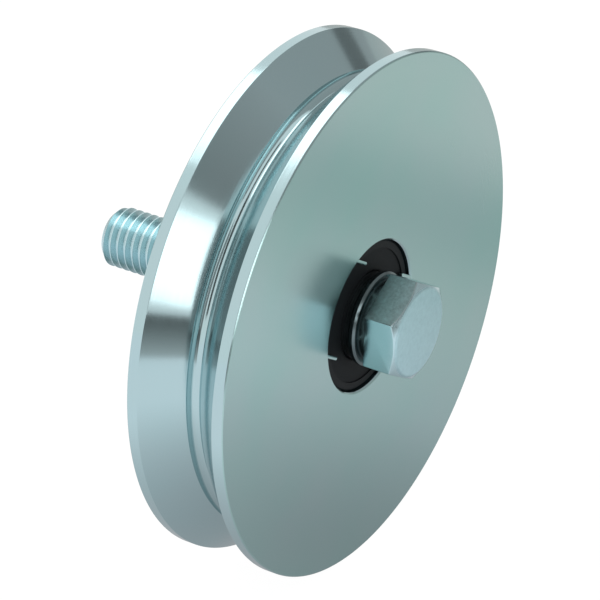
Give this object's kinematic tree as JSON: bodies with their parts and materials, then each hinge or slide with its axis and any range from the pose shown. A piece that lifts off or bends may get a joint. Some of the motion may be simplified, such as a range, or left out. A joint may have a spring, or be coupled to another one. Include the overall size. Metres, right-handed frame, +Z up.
{
  "type": "sliding gate wheel",
  "caption": "Turned steel V-groove wheel for a sliding gate, running on sealed ball bearings on a hexagon-headed bolt whose threaded end fixes it to the gate.",
  "frame": {"origin": "on the bolt's axis at the seat plane, where the rear spacer meets the gate's plate", "axes": "+Y along the bolt from its head to its threaded end, +Z up, X along the rail"},
  "size_m": [0.12, 0.0803, 0.12],
  "materials": {
    "zinc_steel": "bright zinc plate on turned steel",
    "zinc_bolt": "bright zinc plate",
    "bearing_steel": "ground and polished",
    "black_steel": "blackened, satin",
    "cage_steel": "pressed sheet",
    "seal_rubber": "matt"
  },
  "bodies": {
    "axle": {"wheel_bolt": "zinc_bolt", "front_spacer": "zinc_bolt", "rear_spacer": "zinc_bolt", "front_inner_ring": "black_steel", "rear_inner_ring": "black_steel"},
    "wheel": {"wheel_body": "zinc_steel", "front_outer_ring": "black_steel", "front_seal_a": "seal_rubber", "front_seal_b": "seal_rubber", "rear_outer_ring": "black_steel", "rear_seal_a": "seal_rubber", "rear_seal_b": "seal_rubber"},
    "front_cage": {"front_cage_half_a": "cage_steel", "front_cage_half_b": "cage_steel", "front_cage_rivets": "cage_steel"},
    "front_ball_1": {"front_ball_1": "bearing_steel"},
    "front_ball_2": {"front_ball_2": "bearing_steel"},
    "front_ball_3": {"front_ball_3": "bearing_steel"},
    "front_ball_4": {"front_ball_4": "bearing_steel"},
    "front_ball_5": {"front_ball_5": "bearing_steel"},
    "front_ball_6": {"front_ball_6": "bearing_steel"},
    "front_ball_7": {"front_ball_7": "bearing_steel"},
    "front_ball_8": {"front_ball_8": "bearing_steel"},
    "rear_cage": {"rear_cage_half_a": "cage_steel", "rear_cage_half_b": "cage_steel", "rear_cage_rivets": "cage_steel"},
    "rear_ball_1": {"rear_ball_1": "bearing_steel"},
    "rear_ball_2": {"rear_ball_2": "bearing_steel"},
    "rear_ball_3": {"rear_ball_3": "bearing_steel"},
    "rear_ball_4": {"rear_ball_4": "bearing_steel"},
    "rear_ball_5": {"rear_ball_5": "bearing_steel"},
    "rear_ball_6": {"rear_ball_6": "bearing_steel"},
    "rear_ball_7": {"rear_ball_7": "bearing_steel"},
    "rear_ball_8": {"rear_ball_8": "bearing_steel"}
  },
  "joints": [
    {"name": "wheel_spin", "type": "hinge", "parent": "axle", "child": "wheel", "pos_m": [0, 0, 0], "axis": [0, 1, 0], "continuous": true},
    {"name": "front_cage_orbit", "type": "hinge", "parent": "axle", "child": "front_cage", "pos_m": [0, 0, 0], "axis": [0, 1, 0], "continuous": true},
    {"name": "front_ball_1_spin", "type": "hinge", "parent": "front_cage", "child": "front_ball_1", "pos_m": [0.01226, -0.0197, -0.00244], "axis": [0, 1, 0], "continuous": true},
    {"name": "front_ball_2_spin", "type": "hinge", "parent": "front_cage", "child": "front_ball_2", "pos_m": [0.00694, -0.0197, -0.01039], "axis": [0, 1, 0], "continuous": true},
    {"name": "front_ball_3_spin", "type": "hinge", "parent": "front_cage", "child": "front_ball_3", "pos_m": [-0.00244, -0.0197, -0.01226], "axis": [0, 1, 0], "continuous": true},
    {"name": "front_ball_4_spin", "type": "hinge", "parent": "front_cage", "child": "front_ball_4", "pos_m": [-0.01039, -0.0197, -0.00694], "axis": [0, 1, 0], "continuous": true},
    {"name": "front_ball_5_spin", "type": "hinge", "parent": "front_cage", "child": "front_ball_5", "pos_m": [-0.01226, -0.0197, 0.00244], "axis": [0, 1, 0], "continuous": true},
    {"name": "front_ball_6_spin", "type": "hinge", "parent": "front_cage", "child": "front_ball_6", "pos_m": [-0.00694, -0.0197, 0.01039], "axis": [0, 1, 0], "continuous": true},
    {"name": "front_ball_7_spin", "type": "hinge", "parent": "front_cage", "child": "front_ball_7", "pos_m": [0.00244, -0.0197, 0.01226], "axis": [0, 1, 0], "continuous": true},
    {"name": "front_ball_8_spin", "type": "hinge", "parent": "front_cage", "child": "front_ball_8", "pos_m": [0.01039, -0.0197, 0.00694], "axis": [0, 1, 0], "continuous": true},
    {"name": "rear_cage_orbit", "type": "hinge", "parent": "axle", "child": "rear_cage", "pos_m": [0, 0, 0], "axis": [0, 1, 0], "continuous": true},
    {"name": "rear_ball_1_spin", "type": "hinge", "parent": "rear_cage", "child": "rear_ball_1", "pos_m": [0.01039, -0.0087, -0.00694], "axis": [0, 1, 0], "continuous": true},
    {"name": "rear_ball_2_spin", "type": "hinge", "parent": "rear_cage", "child": "rear_ball_2", "pos_m": [0.00244, -0.0087, -0.01226], "axis": [0, 1, 0], "continuous": true},
    {"name": "rear_ball_3_spin", "type": "hinge", "parent": "rear_cage", "child": "rear_ball_3", "pos_m": [-0.00694, -0.0087, -0.01039], "axis": [0, 1, 0], "continuous": true},
    {"name": "rear_ball_4_spin", "type": "hinge", "parent": "rear_cage", "child": "rear_ball_4", "pos_m": [-0.01226, -0.0087, -0.00244], "axis": [0, 1, 0], "continuous": true},
    {"name": "rear_ball_5_spin", "type": "hinge", "parent": "rear_cage", "child": "rear_ball_5", "pos_m": [-0.01039, -0.0087, 0.00694], "axis": [0, 1, 0], "continuous": true},
    {"name": "rear_ball_6_spin", "type": "hinge", "parent": "rear_cage", "child": "rear_ball_6", "pos_m": [-0.00244, -0.0087, 0.01226], "axis": [0, 1, 0], "continuous": true},
    {"name": "rear_ball_7_spin", "type": "hinge", "parent": "rear_cage", "child": "rear_ball_7", "pos_m": [0.00694, -0.0087, 0.01039], "axis": [0, 1, 0], "continuous": true},
    {"name": "rear_ball_8_spin", "type": "hinge", "parent": "rear_cage", "child": "rear_ball_8", "pos_m": [0.01226, -0.0087, 0.00244], "axis": [0, 1, 0], "continuous": true}
  ],
  "couplings": [
    {"joint": "front_cage_orbit", "follows": "wheel_spin", "ratio": 0.619},
    {"joint": "front_ball_1_spin", "follows": "wheel_spin", "ratio": 1.9818},
    {"joint": "front_ball_2_spin", "follows": "wheel_spin", "ratio": 1.9818},
    {"joint": "front_ball_3_spin", "follows": "wheel_spin", "ratio": 1.9818},
    {"joint": "front_ball_4_spin", "follows": "wheel_spin", "ratio": 1.9818},
    {"joint": "front_ball_5_spin", "follows": "wheel_spin", "ratio": 1.9818},
    {"joint": "front_ball_6_spin", "follows": "wheel_spin", "ratio": 1.9818},
    {"joint": "front_ball_7_spin", "follows": "wheel_spin", "ratio": 1.9818},
    {"joint": "front_ball_8_spin", "follows": "wheel_spin", "ratio": 1.9818},
    {"joint": "rear_cage_orbit", "follows": "wheel_spin", "ratio": 0.619},
    {"joint": "rear_ball_1_spin", "follows": "wheel_spin", "ratio": 1.9818},
    {"joint": "rear_ball_2_spin", "follows": "wheel_spin", "ratio": 1.9818},
    {"joint": "rear_ball_3_spin", "follows": "wheel_spin", "ratio": 1.9818},
    {"joint": "rear_ball_4_spin", "follows": "wheel_spin", "ratio": 1.9818},
    {"joint": "rear_ball_5_spin", "follows": "wheel_spin", "ratio": 1.9818},
    {"joint": "rear_ball_6_spin", "follows": "wheel_spin", "ratio": 1.9818},
    {"joint": "rear_ball_7_spin", "follows": "wheel_spin", "ratio": 1.9818},
    {"joint": "rear_ball_8_spin", "follows": "wheel_spin", "ratio": 1.9818}
  ]
}
